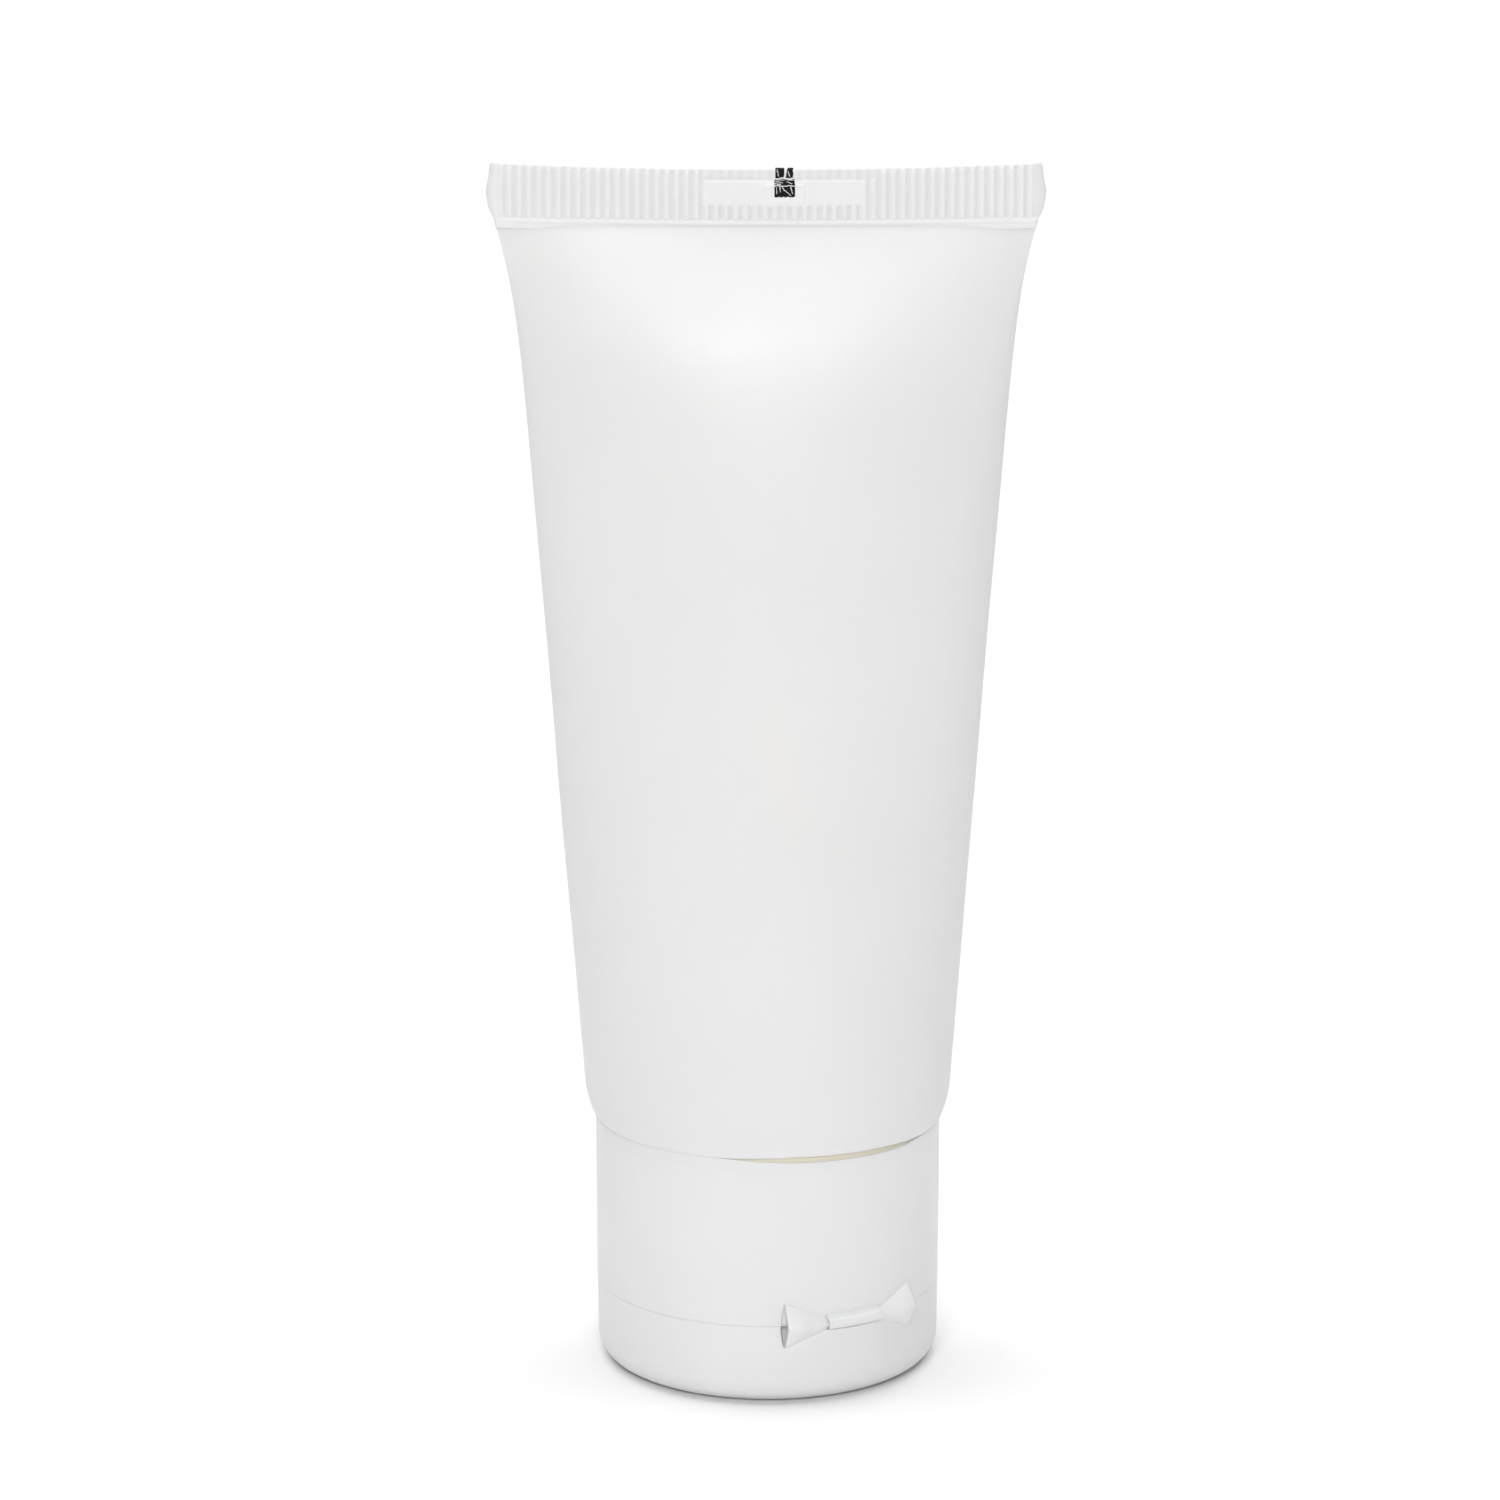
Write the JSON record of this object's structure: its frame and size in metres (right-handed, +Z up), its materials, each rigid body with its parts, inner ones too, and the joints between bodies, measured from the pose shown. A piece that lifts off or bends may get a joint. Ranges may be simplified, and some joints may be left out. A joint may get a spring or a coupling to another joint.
{
  "type": "squeeze tube",
  "caption": "Soft plastic squeeze tube with a flat crimped end, standing upside down on a round flip-top closure with a bow-tie hinge.",
  "frame": {"origin": "centre of the lid's flat resting face", "axes": "+Z up along the tube's axis towards the crimped end, +X along the crimped end, -Y towards the front"},
  "size_m": [0.0538, 0.0352, 0.1206],
  "materials": {
    "sleeve": "satin white polyethylene",
    "head": "matt natural white polyethylene",
    "closure": "white polypropylene, low gloss",
    "ink": "matt black print, cracked by the crimping jaws",
    "cream": "smooth wet cream"
  },
  "bodies": {
    "tube": {"tube_sleeve": "sleeve", "end_seal": "sleeve", "registration_mark": "ink", "tube_shoulder": "head", "cream_fill": "cream"},
    "cap_base": {"cap_base": "closure", "nozzle": "closure", "hinge_strap": "closure", "hinge_wing_left": "closure", "hinge_wing_right": "closure"},
    "lid": {"lid": "closure", "sealing_plug": "closure", "thumb_tab": "closure"}
  },
  "joints": [
    {"name": "cap_turn", "type": "hinge", "parent": "tube", "child": "cap_base", "pos_m": [0, 0, 0.0165], "axis": [0, 0, 1], "continuous": true},
    {"name": "lid_hinge", "type": "hinge", "parent": "cap_base", "child": "lid", "pos_m": [0.00835, -0.01446, 0.0083], "axis": [-0.866, -0.5, 0], "range_deg": [0, 150], "deforming": ["hinge_wing_left", "hinge_wing_right"]}
  ]
}
